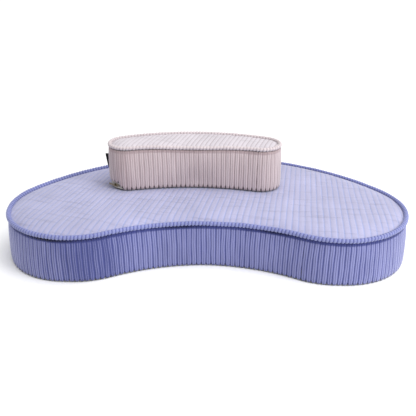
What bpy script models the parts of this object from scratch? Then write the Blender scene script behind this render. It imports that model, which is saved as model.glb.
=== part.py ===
"""Two-piece lounge set for a small child: a bean-shaped floor mat and a bean-shaped back cushion.

Both are foam blocks in zipped corduroy covers with a piped top edge. Metres, +Z up. The waist of
the beans faces -Y. The origin is on the floor, at the centre of the mat's footprint.
"""

import math

import bmesh
import bpy
from mathutils import Matrix

# Driving dimensions of the mat, taken over its piping
MAT_WIDTH = 1.000
MAT_DEPTH = 0.542
MAT_HEIGHT = 0.110
MAT_BACK_BULGE = 0.174
MAT_WAIST_DEPTH = 0.083
MAT_CROWN = 0.012
MAT_CROWN_WIDTH = 0.055

# Driving dimensions of the back cushion, taken over its piping
BACK_WIDTH = 0.461
BACK_DEPTH = 0.148
BACK_HEIGHT = 0.110
BACK_BACK_BULGE = 0.040
BACK_WAIST_DEPTH = 0.024
BACK_CROWN = 0.008
BACK_CROWN_WIDTH = 0.030
BACK_PLACE = (-0.034, 0.051)

# Cloth and piping, the same on both covers
CLOTH = 0.003
PIPING_RADIUS = 0.0062
PIPING_PROUD = 0.0030
PIPING_WALL = 0.0012
PIPING_OPENING = math.radians(60)
SEAM_LEAN = 0.003
LEAN_HEIGHT = 0.014
HEM_LIFT = 0.001
GAP = 0.0003

# Zips: heights are from the cover's base, lengths run along the arc
ZIP_HEIGHT = 0.0115
ROW_GAP = 0.0010
ROW_HEIGHT = 0.0024
ROW_DEPTH = 0.0024
TAPE_THICKNESS = 0.0008
TAPE_WIDTH = 0.010
TAPE_OVERRUN = 0.012
ZIP_MARGIN = 0.0015
ZIP_EASE = 0.0006
STOP_LENGTH = 0.003
SLIDER_LENGTH = 0.011
SLIDER_HEIGHT = 0.009
SLIDER_PLATE = 0.001
SLIDER_WEB = 0.0004
SLIDER_CLEARANCE = 0.001
MAT_ZIP_ANGLES = (59, 121)
BACK_ZIP_ANGLES = (241, 125)

# The bail on a slider's plate, and the pull that hangs in it
BAIL_HALF_LENGTH = 0.0030
BAIL_THICKNESS = 0.0010
BAIL_WIDTH = 0.0018
BAIL_ROOT = 0.0005
PULL_LENGTH = 0.024
PULL_THICKNESS = 0.0010
PULL_ARM = 0.0014
PULL_PLAY = 0.0004
PULL_STAND = 0.0012

# The woven label in the back cushion's side seam
LABEL_ANGLE = 167
LABEL_BOTTOM = 0.042
LABEL_TALL = 0.040
LABEL_REACH = 0.014
LABEL_LAYER = 0.00045

# Facets: the most that a chord may leave its arc, and the steps of the small round sections
OUTLINE_SAG = 0.0009
ZIPPED_SAG = 0.0004
ZIP_SAG = 0.0001
PIPING_STEPS = 6
CORD_SIDES = 6
CROWN_STEPS = 3
PULL_END_STEPS = 6

COLOURS = {
    "blue_corduroy_top": (0.52, 0.51, 0.70),
    "blue_corduroy_side": (0.18, 0.20, 0.44),
    "beige_corduroy_top": (0.76, 0.70, 0.75),
    "beige_corduroy_side": (0.46, 0.37, 0.40),
    "base_cloth": (0.30, 0.30, 0.38),
    "foam": (0.85, 0.82, 0.72),
    "piping_cord": (0.88, 0.86, 0.80),
    "zip_tape": (0.80, 0.74, 0.64),
    "zip_coil": (0.72, 0.66, 0.56),
    "zip_metal": (0.20, 0.17, 0.11),
    "label_weave": (0.02, 0.02, 0.025),
}
METALS = {"zip_metal"}


class Arc:
    """A stretch of a bean outline: its centre, and its radius before any inset."""

    def __init__(self, x, y, radius, sag=OUTLINE_SAG):
        self.x = x
        self.y = y
        self.radius = radius
        self.sag = sag

    def point(self, angle, inset=0.0):
        reach = self.radius - inset
        return (self.x + reach * math.cos(angle), self.y + reach * math.sin(angle))

    def steps(self, angle, sag):
        """How many equal chords follow this much of the arc within a sag."""
        return math.ceil(abs(angle) / (2 * math.acos(1 - sag / abs(self.radius))))


class Bean:
    """A bean outline of four tangent arcs, centred on its depth: a hollow waist at -Y, a round
    lobe at each end and a wide back arc. Every inset of it keeps the same centres and angles."""

    def __init__(self, width, depth, back_bulge, waist_depth, zipped):
        lobe = (depth - back_bulge) / 2
        lobe_x = width / 2 - lobe
        lobe_y = lobe - depth / 2
        waist = lobe_x**2 / (2 * waist_depth) - lobe + waist_depth / 2
        back = (lobe_x**2 / back_bulge + depth) / 2
        self.waist = Arc(0.0, waist_depth - waist - depth / 2, -waist)
        self.back = Arc(0.0, depth / 2 - back, back)
        self.right = Arc(lobe_x, lobe_y, lobe)
        self.left = Arc(-lobe_x, lobe_y, lobe)
        self.zipped = getattr(self, zipped)
        self.zipped.sag = ZIPPED_SAG
        self.waist_angle = math.atan2(lobe_y - self.waist.y, lobe_x)
        self.back_angle = math.atan2(lobe_y - self.back.y, lobe_x)

    def outline(self, inset):
        """The outline's points, counter-clockwise from the left end of the waist."""
        half_turn = math.pi
        waist, back = self.waist_angle, self.back_angle
        # the waist's radius is negative, so its angles point the other way
        stretches = (
            (self.waist, -waist, waist - half_turn),
            (self.right, waist - half_turn, back),
            (self.back, back, half_turn - back),
            (self.left, half_turn - back, 2 * half_turn - waist),
        )
        points = []
        for arc, start, end in stretches:
            steps = arc.steps(end - start, arc.sag)
            for step in range(steps):
                points.append(arc.point(start + (end - start) * step / steps, inset))
        return points


def make_materials():
    materials = {}
    for name, colour in COLOURS.items():
        material = bpy.data.materials.new(name)
        material.use_nodes = True
        shader = material.node_tree.nodes["Principled BSDF"]
        shader.inputs["Base Color"].default_value = (*colour, 1.0)
        shader.inputs["Roughness"].default_value = 0.35 if name in METALS else 0.9
        shader.inputs["Metallic"].default_value = 1.0 if name in METALS else 0.0
        materials[name] = material
    return materials


def add_empty(name, location, parent=None):
    empty = bpy.data.objects.new(name, None)
    empty.location = location
    empty.parent = parent
    bpy.context.scene.collection.objects.link(empty)
    return empty


def add_object(name, bm, parent, material=None):
    bmesh.ops.recalc_face_normals(bm, faces=bm.faces)
    mesh = bpy.data.meshes.new(name)
    bm.to_mesh(mesh)
    bm.free()
    mesh.shade_smooth()
    mesh.set_sharp_from_angle(angle=math.radians(40))
    if material:
        mesh.materials.append(material)
    item = bpy.data.objects.new(name, mesh)
    item.parent = parent
    bpy.context.scene.collection.objects.link(item)
    return item


def join_rings(bm, rings, closed):
    """Quads between each ring of points and the next, all round."""
    rows = [[bm.verts.new(point) for point in ring] for ring in rings]
    pairs = list(zip(rows, rows[1:]))
    if closed:
        pairs.append((rows[-1], rows[0]))
    for low, high in pairs:
        for i in range(len(low)):
            j = (i + 1) % len(low)
            bm.faces.new((low[i], low[j], high[j], high[i]))
    return rows


def bean_ring(name, bean, section, parent, material):
    """A closed section of (inset, height) points carried round a bean."""
    bm = bmesh.new()
    rings = [[(x, y, z) for x, y in bean.outline(inset)] for inset, z in section]
    join_rings(bm, rings, closed=True)
    return add_object(name, bm, parent, material)


def bean_slab(name, bean, profile, parent, material):
    """A solid whose sides follow an open profile of (inset, height) points, closed by its ends."""
    bm = bmesh.new()
    rings = [[(x, y, z) for x, y in bean.outline(inset)] for inset, z in profile]
    rows = join_rings(bm, rings, closed=False)
    bm.faces.new(reversed(rows[0]))
    bm.faces.new(rows[-1])
    return add_object(name, bm, parent, material)


def arc_sweep(name, arc, section, start, end, steps, parent, material=None):
    """A section of (inset, height) points spun about an arc's centre, which is the origin here."""
    bm = bmesh.new()
    corners = [bm.verts.new((arc.radius - inset, 0.0, z)) for inset, z in section]
    face = bm.faces.new(corners)
    bmesh.ops.spin(
        bm, geom=[face, *face.edges, *corners], axis=(0, 0, 1), cent=(0, 0, 0), angle=end - start,
        steps=steps, use_duplicate=False
    )
    bmesh.ops.rotate(bm, verts=bm.verts, cent=(0, 0, 0), matrix=Matrix.Rotation(start, 3, "Z"))
    return add_object(name, bm, parent, material)


def prism(name, points, low, high, parent, material=None):
    """A flat outline of (x, y) points raised from low to high."""
    bm = bmesh.new()
    face = bm.faces.new([bm.verts.new((x, y, low)) for x, y in points])
    lifted = bmesh.ops.extrude_face_region(bm, geom=[face])["geom"]
    tops = [item for item in lifted if isinstance(item, bmesh.types.BMVert)]
    bmesh.ops.translate(bm, verts=tops, vec=(0, 0, high - low))
    return add_object(name, bm, parent, material)


def rectangle(inset_from, inset_to, low, high):
    return [(inset_from, low), (inset_from, high), (inset_to, high), (inset_to, low)]


def boolean(target, tool, operation):
    """Cut or join a tool, which stays as a wire guide."""
    tool.display_type = "WIRE"
    tool.hide_render = True
    tool.hide_set(True)
    modifier = target.modifiers.new(tool.name, "BOOLEAN")
    modifier.operation = operation
    modifier.solver = "EXACT"
    modifier.object = tool


class Cover:
    """One bean cushion's levels and insets, which its cloth, foam, piping and zip all share."""

    def __init__(self, width, depth, height, back_bulge, waist_depth, crown, crown_width, zipped):
        over_piping = 2 * PIPING_PROUD
        self.bean = Bean(width - over_piping, depth - over_piping, back_bulge, waist_depth, zipped)
        self.seam = height
        self.crown = crown
        self.piping_inset = PIPING_RADIUS - PIPING_PROUD
        self.piping_height = height + PIPING_RADIUS
        self.rim = self.piping_inset + PIPING_RADIUS + GAP
        self.crown_width = crown_width
        self.inside = CLOTH + GAP
        self.top = height + CLOTH + crown

    def dome(self, base):
        """Points from the rim in to the flat of the crown, which rises as part of a parabola."""
        points = []
        for step in range(CROWN_STEPS + 1):
            share = step / CROWN_STEPS
            points.append(
                (self.rim + self.crown_width * share, base + self.crown * (1 - (1 - share) ** 2))
            )
        return points

    def band_section(self):
        top = self.seam - GAP
        lean_start = self.seam - LEAN_HEIGHT
        outer = [(0.0, HEM_LIFT), (0.0, lean_start), (SEAM_LEAN, top)]
        inner = [(SEAM_LEAN + CLOTH, top), (CLOTH, lean_start), (CLOTH, HEM_LIFT)]
        return outer + inner

    def panel_profile(self):
        return self.dome(self.seam)[::-1] + self.dome(self.seam + CLOTH)

    def foam_profile(self):
        under = self.seam - GAP
        sides = [
            (self.inside, CLOTH + GAP),
            (self.inside, self.seam - LEAN_HEIGHT),
            (SEAM_LEAN + self.inside, under),
        ]
        return sides + self.dome(under)

    def sleeve_section(self):
        """A strip folded round the cord, open on the side that the seam closes."""
        inner = PIPING_RADIUS - PIPING_WALL
        start = -math.pi / 4 + PIPING_OPENING / 2
        sweep = 2 * math.pi - PIPING_OPENING
        angles = [start + sweep * step / PIPING_STEPS for step in range(PIPING_STEPS + 1)]
        return self.round_points(PIPING_RADIUS, angles) + self.round_points(inner, angles[::-1])

    def cord_section(self):
        # a facet's middle lies inside its corners, so the cord is fitted to the sleeve's facets
        facet = (2 * math.pi - PIPING_OPENING) / PIPING_STEPS
        radius = (PIPING_RADIUS - PIPING_WALL) * math.cos(facet / 2) - GAP
        angles = [2 * math.pi * side / CORD_SIDES for side in range(CORD_SIDES)]
        return self.round_points(radius, angles)

    def round_points(self, radius, angles):
        return [
            (self.piping_inset + radius * math.cos(angle), self.piping_height + radius * math.sin(angle))
            for angle in angles
        ]


def add_cover(prefix, cover, colour, parent, materials):
    """The foam block and every cloth piece of one cushion. Returns its foam and its band."""
    top, side = materials[colour + "_top"], materials[colour + "_side"]
    bean = cover.bean
    foam = bean_slab(prefix + "_foam_core", bean, cover.foam_profile(), parent, materials["foam"])
    base = [(cover.inside, 0.0), (cover.inside, CLOTH)]
    bean_slab(prefix + "_base_panel", bean, base, parent, materials["base_cloth"])
    band = bean_ring(prefix + "_side_band", bean, cover.band_section(), parent, side)
    bean_slab(prefix + "_top_panel", bean, cover.panel_profile(), parent, top)
    bean_ring(prefix + "_piping_sleeve", bean, cover.sleeve_section(), parent, side)
    cord = materials["piping_cord"]
    bean_ring(prefix + "_piping_cord", bean, cover.cord_section(), parent, cord)
    return foam, band


class Zip:
    """One zip round an arc of a cover: its insets, heights and angles, from the closed end."""

    def __init__(self, arc, closed_degrees, open_degrees):
        self.arc = arc
        self.closed = math.radians(closed_degrees)
        self.open = math.radians(open_degrees)
        self.turn = 1 if open_degrees > closed_degrees else -1
        self.tape_front = CLOTH + ZIP_EASE
        self.tape_back = self.tape_front + TAPE_THICKNESS
        tape_middle = (self.tape_front + self.tape_back) / 2
        self.row_front = tape_middle - ROW_DEPTH / 2
        self.row_back = tape_middle + ROW_DEPTH / 2
        self.plate_front = self.row_front - GAP - SLIDER_PLATE
        self.plate_back = self.row_back + GAP + SLIDER_PLATE
        self.row_low = ZIP_HEIGHT - ROW_GAP / 2 - ROW_HEIGHT
        self.row_high = ZIP_HEIGHT + ROW_GAP / 2 + ROW_HEIGHT
        self.mouth_top = ZIP_HEIGHT + SLIDER_HEIGHT / 2 + ZIP_MARGIN
        self.tape_top = self.row_high + GAP + TAPE_WIDTH
        # heights over the slider's plate: the pull's pin, which holds the pull clear of the
        # band, and the bail over it
        self.pin_rise = self.plate_front + PULL_STAND
        self.bail_under = self.pin_rise + PULL_THICKNESS * math.sqrt(0.5) + PULL_PLAY / 2
        self.bail_top = self.bail_under + BAIL_THICKNESS

    def along(self, length):
        """The angle of a length along the zip, counted towards its open end."""
        return self.turn * length / self.arc.radius

    def sweep(self, name, section, start, end, parent, material=None):
        steps = self.arc.steps(end - start, ZIP_SAG)
        return arc_sweep(name, self.arc, section, start, end, steps, parent, material)


def cut_zip_room(way, centre, foam, band):
    """Open the band's hem along the zip, and set the foam back behind it."""
    name = centre.name
    below = -CLOTH
    margin = way.along(TAPE_OVERRUN + ZIP_MARGIN)
    mouth = rectangle(-CLOTH, 2 * CLOTH, below, way.mouth_top)
    mouth_tool = way.sweep(name + "_mouth_tool", mouth, way.closed, way.open, centre)
    boolean(band, mouth_tool, "DIFFERENCE")
    relief = rectangle(-CLOTH, way.plate_back + GAP, below, way.tape_top + GAP)
    relief_tool = way.sweep(
        name + "_relief_tool", relief, way.closed - margin, way.open + margin, centre
    )
    boolean(foam, relief_tool, "DIFFERENCE")


def add_chain(prefix, way, centre, materials):
    """Two tapes, two rows of coil and a stop at each end."""
    overrun = way.along(TAPE_OVERRUN)
    stop = way.along(STOP_LENGTH)
    tapes = {
        "_zip_tape_lower": (CLOTH + GAP, way.row_low - GAP),
        "_zip_tape_upper": (way.row_high + GAP, way.tape_top),
    }
    for name, (low, high) in tapes.items():
        section = rectangle(way.tape_front, way.tape_back, low, high)
        start, end = way.closed - overrun, way.open + overrun
        way.sweep(prefix + name, section, start, end, centre, materials["zip_tape"])
    rows = {
        "_zip_coil_lower": (way.row_low, way.row_low + ROW_HEIGHT),
        "_zip_coil_upper": (way.row_high - ROW_HEIGHT, way.row_high),
    }
    gap = way.along(GAP)
    for name, (low, high) in rows.items():
        section = rectangle(way.row_front, way.row_back, low, high)
        start, end = way.closed + stop + gap, way.open - stop - gap
        way.sweep(prefix + name, section, start, end, centre, materials["zip_coil"])
    clasp = rectangle(way.row_front - GAP, way.row_back + GAP, way.row_low, way.row_high)
    stops = {"_zip_stop_closed_end": way.closed, "_zip_stop_open_end": way.open - stop}
    for name, start in stops.items():
        way.sweep(prefix + name, clasp, start, start + stop, centre, materials["zip_metal"])


def slider_section(way):
    """Two plates and the thin web between the rows of coil, as an I-beam on its side."""
    half, web = SLIDER_HEIGHT / 2, SLIDER_WEB / 2
    front_in, back_in = way.row_front - GAP, way.row_back + GAP
    offsets = [
        (way.plate_front, -half), (way.plate_front, half), (front_in, half), (front_in, web),
        (back_in, web), (back_in, half), (way.plate_back, half), (way.plate_back, -half),
        (back_in, -half), (back_in, -web), (front_in, -web), (front_in, -half),
    ]  # fmt: skip
    return [(inset, ZIP_HEIGHT + offset) for inset, offset in offsets]


def add_slider(prefix, way, centre, materials):
    """The slider, and its pull, whose rest is flat along the closed side of its own travel."""
    metal = materials["zip_metal"]
    start = way.closed + way.along(STOP_LENGTH + SLIDER_CLEARANCE)
    middle = start + way.along(SLIDER_LENGTH / 2)
    travel = add_empty(prefix + "_slider_travel", (0, 0, 0), centre)
    end = start + way.along(SLIDER_LENGTH)
    slider = way.sweep(prefix + "_zip_slider", slider_section(way), start, end, travel, metal)
    seat = way.arc.radius - way.plate_front
    reach, leg = BAIL_HALF_LENGTH, BAIL_HALF_LENGTH - BAIL_THICKNESS
    rise, under = way.bail_top, way.bail_under
    arch = [
        (-reach, -BAIL_ROOT), (-reach, rise), (reach, rise), (reach, -BAIL_ROOT),
        (leg, -BAIL_ROOT), (leg, under), (-leg, under), (-leg, -BAIL_ROOT),
    ]  # fmt: skip
    low, high = ZIP_HEIGHT - BAIL_WIDTH / 2, ZIP_HEIGHT + BAIL_WIDTH / 2
    bail = prism(prefix + "_bail_tool", arch, low, high, travel)
    bail.location = (seat * math.cos(middle), seat * math.sin(middle), 0)
    bail.rotation_euler.z = middle - math.pi / 2
    boolean(slider, bail, "UNION")

    pin = seat + way.pin_rise
    place = (pin * math.cos(middle), pin * math.sin(middle), ZIP_HEIGHT)
    hinge = add_empty(prefix + "_pull_hinge", place, travel)
    hinge.rotation_euler.z = middle + way.turn * math.pi / 2
    eye_reach = math.hypot(BAIL_HALF_LENGTH, way.bail_top - way.pin_rise) + PULL_PLAY
    add_pull(prefix, eye_reach, hinge, metal)


def add_pull(prefix, eye_reach, hinge, metal):
    """A flat tab with a round end, and an eye that the bail passes through."""
    bar, eye_half = PULL_THICKNESS / 2, BAIL_WIDTH / 2 + PULL_PLAY
    half = eye_half + PULL_ARM
    straight = PULL_LENGTH - half
    outline = [(-bar, -half), (straight, -half)]
    for step in range(1, PULL_END_STEPS):
        angle = -math.pi / 2 + math.pi * step / PULL_END_STEPS
        outline.append((straight + half * math.cos(angle), half * math.sin(angle)))
    outline += [(straight, half), (-bar, half)]
    pull = prism(prefix + "_zip_pull", outline, -bar, bar, hinge, metal)
    eye = [(bar, -eye_half), (eye_reach, -eye_half), (eye_reach, eye_half), (bar, eye_half)]
    eye_tool = prism(prefix + "_pull_eye_tool", eye, -PULL_THICKNESS, PULL_THICKNESS, hinge)
    for item in (pull, eye_tool):
        item.rotation_euler.x = math.pi / 2
    boolean(pull, eye_tool, "DIFFERENCE")


def add_zip(prefix, arc, angles, cushion, foam, band, materials):
    way = Zip(arc, angles[0], angles[1])
    centre = add_empty(prefix + "_zip_centre", (arc.x, arc.y, 0), cushion)
    cut_zip_room(way, centre, foam, band)
    add_chain(prefix, way, centre, materials)
    add_slider(prefix, way, centre, materials)


def add_label(prefix, arc, cushion, materials):
    """A woven strip folded at its outer end, both ends caught in a seam of the band."""
    centre = add_empty(prefix + "_label_centre", (arc.x, arc.y, 0), cushion)
    near, far = arc.radius + GAP, arc.radius + GAP + LABEL_REACH
    half, slot = GAP / 2 + LABEL_LAYER, GAP / 2
    fold = [
        (near, -half), (far, -half), (far, half), (near, half),
        (near, slot), (far - LABEL_LAYER, slot), (far - LABEL_LAYER, -slot), (near, -slot),
    ]  # fmt: skip
    top = LABEL_BOTTOM + LABEL_TALL
    label = prism(
        prefix + "_label_tab", fold, LABEL_BOTTOM, top, centre, materials["label_weave"]
    )
    label.rotation_euler.z = math.radians(LABEL_ANGLE)


def main():
    for item in list(bpy.data.objects):
        bpy.data.objects.remove(item, do_unlink=True)
    materials = make_materials()

    mat_cover = Cover(
        MAT_WIDTH, MAT_DEPTH, MAT_HEIGHT, MAT_BACK_BULGE, MAT_WAIST_DEPTH, MAT_CROWN,
        MAT_CROWN_WIDTH, "back"
    )
    mat = add_empty("mat", (0, 0, 0))
    foam, band = add_cover("mat", mat_cover, "blue_corduroy", mat, materials)
    add_zip("mat", mat_cover.bean.zipped, MAT_ZIP_ANGLES, mat, foam, band, materials)

    back_cover = Cover(
        BACK_WIDTH, BACK_DEPTH, BACK_HEIGHT, BACK_BACK_BULGE, BACK_WAIST_DEPTH, BACK_CROWN,
        BACK_CROWN_WIDTH, "left"
    )
    rest = add_empty("backrest", (*BACK_PLACE, mat_cover.top + GAP))
    foam, band = add_cover("backrest", back_cover, "beige_corduroy", rest, materials)
    add_zip("backrest", back_cover.bean.zipped, BACK_ZIP_ANGLES, rest, foam, band, materials)
    add_label("backrest", back_cover.bean.left, rest, materials)


main()
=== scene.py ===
"""Two bean-shaped corduroy cushions: a wide blue floor mat and a beige backrest that stands on it.

Both covers are cut the same way: a ribbed side band, a ribbed top panel, fat ribbed piping on the seam between
them, a plain base cloth, and a zip low on the band. All lengths are in metres.
"""

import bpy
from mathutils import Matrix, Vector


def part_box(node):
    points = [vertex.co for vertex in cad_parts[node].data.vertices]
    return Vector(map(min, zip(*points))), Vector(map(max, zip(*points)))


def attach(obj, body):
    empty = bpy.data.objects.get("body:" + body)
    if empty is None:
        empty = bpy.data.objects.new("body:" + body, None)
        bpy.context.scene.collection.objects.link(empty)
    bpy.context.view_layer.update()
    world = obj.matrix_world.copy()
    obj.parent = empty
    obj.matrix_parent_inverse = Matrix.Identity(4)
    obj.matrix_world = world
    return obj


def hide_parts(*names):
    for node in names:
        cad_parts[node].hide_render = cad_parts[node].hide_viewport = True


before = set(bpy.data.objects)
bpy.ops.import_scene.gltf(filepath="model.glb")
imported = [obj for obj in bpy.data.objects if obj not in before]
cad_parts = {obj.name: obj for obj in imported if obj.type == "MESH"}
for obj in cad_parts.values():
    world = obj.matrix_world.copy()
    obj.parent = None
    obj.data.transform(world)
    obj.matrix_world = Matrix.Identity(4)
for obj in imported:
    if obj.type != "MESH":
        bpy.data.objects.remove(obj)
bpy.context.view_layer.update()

import math

import bmesh
import bpy
from bpy.props import FloatProperty, FloatVectorProperty, IntProperty, PointerProperty
from mathutils import Matrix, Vector, kdtree, noise

bl_info = {
    "name": "Corduroy Bean Cushions",
    "version": (1, 0, 0),
    "blender": (4, 5, 0),
    "location": "3D View > Sidebar > Cushions",
    "description": "Builds a bean-shaped corduroy floor mat and its backrest around their CAD frame",
    "category": "Object",
}

CUSHIONS = ("mat", "backrest")
TURN = math.tau
FACES_PER_RIB = 8
FACES_ROUND_PIPING = 14
HEM_STEP = 0.014
TAPE_ROOM = 0.016
BAND_INSIDE = 0.0028


# --------------------------------------------------------------------------------------------
# Sizes and colours
# --------------------------------------------------------------------------------------------


def length(name, description, default):
    """A property that holds a length in metres."""
    return FloatProperty(name=name, description=description, default=default, unit="LENGTH", precision=4)


def angle(name, description, degrees):
    """A property that holds an angle."""
    return FloatProperty(name=name, description=description, default=math.radians(degrees), subtype="ANGLE")


def colour(name, description, default):
    """A property that holds a colour, in linear light."""
    return FloatVectorProperty(
        name=name, description=description, default=default, size=3, subtype="COLOR", min=0.0, max=1.0
    )


COVER_LENGTHS = {
    "back_bulge": "How far the middle of the back stands behind its ends",
    "waist_depth": "How far the hollow of the front runs in",
    "crown_width": "How far in from the piping the top panel still rises",
    "side_rib": "Width of one rib on the side band",
    "side_relief": "Depth of the grooves on the side band",
    "top_rib": "Width of one rib on the top panel",
    "top_relief": "Depth of the grooves on the top panel",
    "belly": "How far the side band swells under its filling",
    "tuck": "How far the side band is drawn in under the piping",
    "low_belly": "How much further the side band swells low down",
    "corner_flare": "How far the hem stands out at the front corners",
    "scallop": "How much higher the hem is in the grooves",
    "waist_lean": "How far the top leans forward over the hollow of the front",
    "thin_piping": "How much thinner the piping is than its room",
    "zip_lift": "How far the band's hem is raised over the zip",
    "zip_room": "How far past the zip's ends the band's hem stays raised",
    "piping_rib": "Width of one rib on the piping",
    "hem_gap": "How far the hem stands above what the cushion stands on",
    # The front's patch of painted shade: where it lies along the width, and half its width.
    "brushed_at": "Where along the width the front's pile is brushed darker",
    "brushed_wide": "Half the width of the pile brushed darker",
}
COVER_ANGLES = {
    "grain_turn": "How far the top panel's ribs lean to the right going back",
    "grain_fan": "How much more the ribs lean at the left end and less at the right end",
    "zip_from": "Where the zip starts, as a direction from its arc's centre",
    "zip_to": "Where the zip ends, as a direction from its arc's centre",
}
COVER_SHARES = {
    "piping_fuller": "How much fuller the piping is at the back left, and thinner at the back right",
    # The next three set painted shade: in the seam under the piping, in the grooves at the hem, and on a patch
    # of the front.
    "seam_shade": "How dark the pile is in the seam",
    "hem_shade": "How dark the grooves are at the hem",
    "brushed_dark": "How much darker the brushed pile is",
}
COVER_COLOURS = {
    "top_crest": "Ribs of the top panel",
    "top_groove": "Grooves of the top panel",
    "side_crest": "Ribs of the side band",
    "side_groove": "Grooves of the side band",
    "piping_crest": "Ribs of the piping",
    "piping_groove": "Grooves of the piping",
}


def label_of(key):
    """A property's label, from its key."""
    return key.replace("_", " ").capitalize()


def cover_sizes(zip_arc, **defaults):
    """The properties that hold the sizes of one cover."""
    along = "Arc of the outline that the zip runs along"
    held = {"zip_arc": IntProperty(name=label_of("zip_arc"), description=along, default=zip_arc)}
    for key, value in defaults.items():
        if key in COVER_LENGTHS:
            held[key] = length(label_of(key), COVER_LENGTHS[key], value)
        elif key in COVER_ANGLES:
            held[key] = angle(label_of(key), COVER_ANGLES[key], value)
        else:
            held[key] = FloatProperty(name=label_of(key), description=COVER_SHARES[key], default=value)
    return held


def cover_colours(**defaults):
    """The properties that hold the colours of one cover."""
    return {key: colour(label_of(key), COVER_COLOURS[key], value) for key, value in defaults.items()}


class MatSizes(bpy.types.PropertyGroup):
    """Sizes of the floor mat's cover."""

    __annotations__ = cover_sizes(
        back_bulge=0.174,
        waist_depth=0.083,
        crown_width=0.055,
        side_rib=0.0118,
        side_relief=0.0021,
        top_rib=0.0143,
        top_relief=0.0015,
        grain_turn=10.5,
        grain_fan=5.5,
        belly=0.0042,
        tuck=0.0044,
        low_belly=0.0030,
        corner_flare=0.0050,
        scallop=0.0040,
        waist_lean=0.0030,
        thin_piping=0.0002,
        zip_arc=1,
        zip_from=59.0,
        zip_to=121.0,
        zip_lift=0.0165,
        zip_room=0.034,
        piping_rib=0.0086,
        piping_fuller=0.24,
        hem_gap=0.0004,
        # Painted shade in the seam and at the hem, and on a patch of the front:
        seam_shade=0.75,
        hem_shade=1.2,
        brushed_at=-0.265,
        brushed_wide=0.085,
        brushed_dark=0.42,
    )


class BackrestSizes(bpy.types.PropertyGroup):
    """Sizes of the backrest's cover."""

    __annotations__ = cover_sizes(
        back_bulge=0.040,
        waist_depth=0.024,
        crown_width=0.030,
        side_rib=0.0118,
        side_relief=0.0020,
        top_rib=0.0117,
        top_relief=0.0015,
        grain_turn=16.5,
        grain_fan=0.0,
        belly=0.0036,
        tuck=0.0016,
        low_belly=0.0016,
        corner_flare=0.0010,
        scallop=0.0062,
        waist_lean=0.0120,
        thin_piping=0.0010,
        zip_arc=2,
        zip_from=125.0,
        zip_to=241.0,
        zip_lift=0.0165,
        zip_room=0.016,
        piping_rib=0.0086,
        piping_fuller=0.0,
        hem_gap=0.0018,
        # Painted shade in the seam and at the hem, and on a patch of the front:
        seam_shade=0.40,
        hem_shade=1.3,
        brushed_at=-0.225,
        brushed_wide=0.040,
        brushed_dark=0.35,
    )


class MatColours(bpy.types.PropertyGroup):
    """Colours of the floor mat's cover."""

    __annotations__ = cover_colours(
        top_crest=(0.395, 0.39, 0.555),
        top_groove=(0.30, 0.34, 0.56),
        # The side band's colours are darker than the top's: painted shade, for the same cloth shaded on the
        # sides.
        side_crest=(0.235, 0.247, 0.480),
        side_groove=(0.055, 0.066, 0.225),
        piping_crest=(0.235, 0.256, 0.485),
        piping_groove=(0.11, 0.125, 0.35),
    )


class BackrestColours(bpy.types.PropertyGroup):
    """Colours of the backrest's cover."""

    __annotations__ = cover_colours(
        top_crest=(0.60, 0.555, 0.60),
        top_groove=(0.44, 0.38, 0.41),
        side_crest=(0.62, 0.525, 0.535),
        side_groove=(0.42, 0.325, 0.335),
        piping_crest=(0.62, 0.55, 0.565),
        piping_groove=(0.50, 0.43, 0.45),
    )


class TrimColours(bpy.types.PropertyGroup):
    """Colours of the base cloth, the zips, the label and the foam."""

    # Near black: painted shadow, so the base cloth seen in the gap under the hem reads as shade.
    base_cloth: colour("Base cloth", "Plain cloth under both cushions", (0.045, 0.042, 0.060))
    mat_zip: colour("Mat zip", "Tapes and teeth of the mat's zip", (0.34, 0.36, 0.62))
    backrest_zip: colour("Backrest zip", "Tapes and teeth of the backrest's zip", (0.72, 0.68, 0.60))
    zip_metal: colour("Zip metal", "Sliders, pulls and stops", (0.42, 0.36, 0.24))
    label: colour("Label", "Woven label", (0.012, 0.013, 0.018))
    foam: colour("Foam", "Foam cores", (0.62, 0.60, 0.52))


class StageSizes(bpy.types.PropertyGroup):
    """Where the camera stands and how strong the lights are."""

    camera_place: FloatVectorProperty(
        name="Camera place",
        description="Where the camera stands",
        default=(0.0366, -1.3678, 0.7158),
        size=3,
        subtype="TRANSLATION",
    )
    camera_pitch: angle("Camera pitch", "How far the camera looks down", 25.3)
    camera_turn: angle("Camera turn", "How far the camera is turned to the left", 1.4527)
    focal_length: FloatProperty(
        name="Focal length", description="Lens of the camera in millimetres", default=48.46, min=10.0, max=200.0
    )
    key: FloatProperty(name="Key", description="Strength of the soft key light", default=1.85, min=0.0)
    side: FloatProperty(name="Side", description="Power of the right soft box in watts", default=26.0, min=0.0)
    key_from: FloatVectorProperty(
        name="Key from", description="Where the key light comes from", default=(0.30, -0.05, 1.0), size=3
    )
    surround: FloatProperty(name="Surround", description="Strength of the surround", default=0.60, min=0.0)


def sizes_of(cushion):
    """The sizes of one cushion's cover."""
    return getattr(bpy.context.scene, f"{cushion}_sizes")


def colours_of(cushion):
    """The colours of one cushion's cover."""
    return getattr(bpy.context.scene, f"{cushion}_colours")


# --------------------------------------------------------------------------------------------
# The outline
# --------------------------------------------------------------------------------------------


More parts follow.
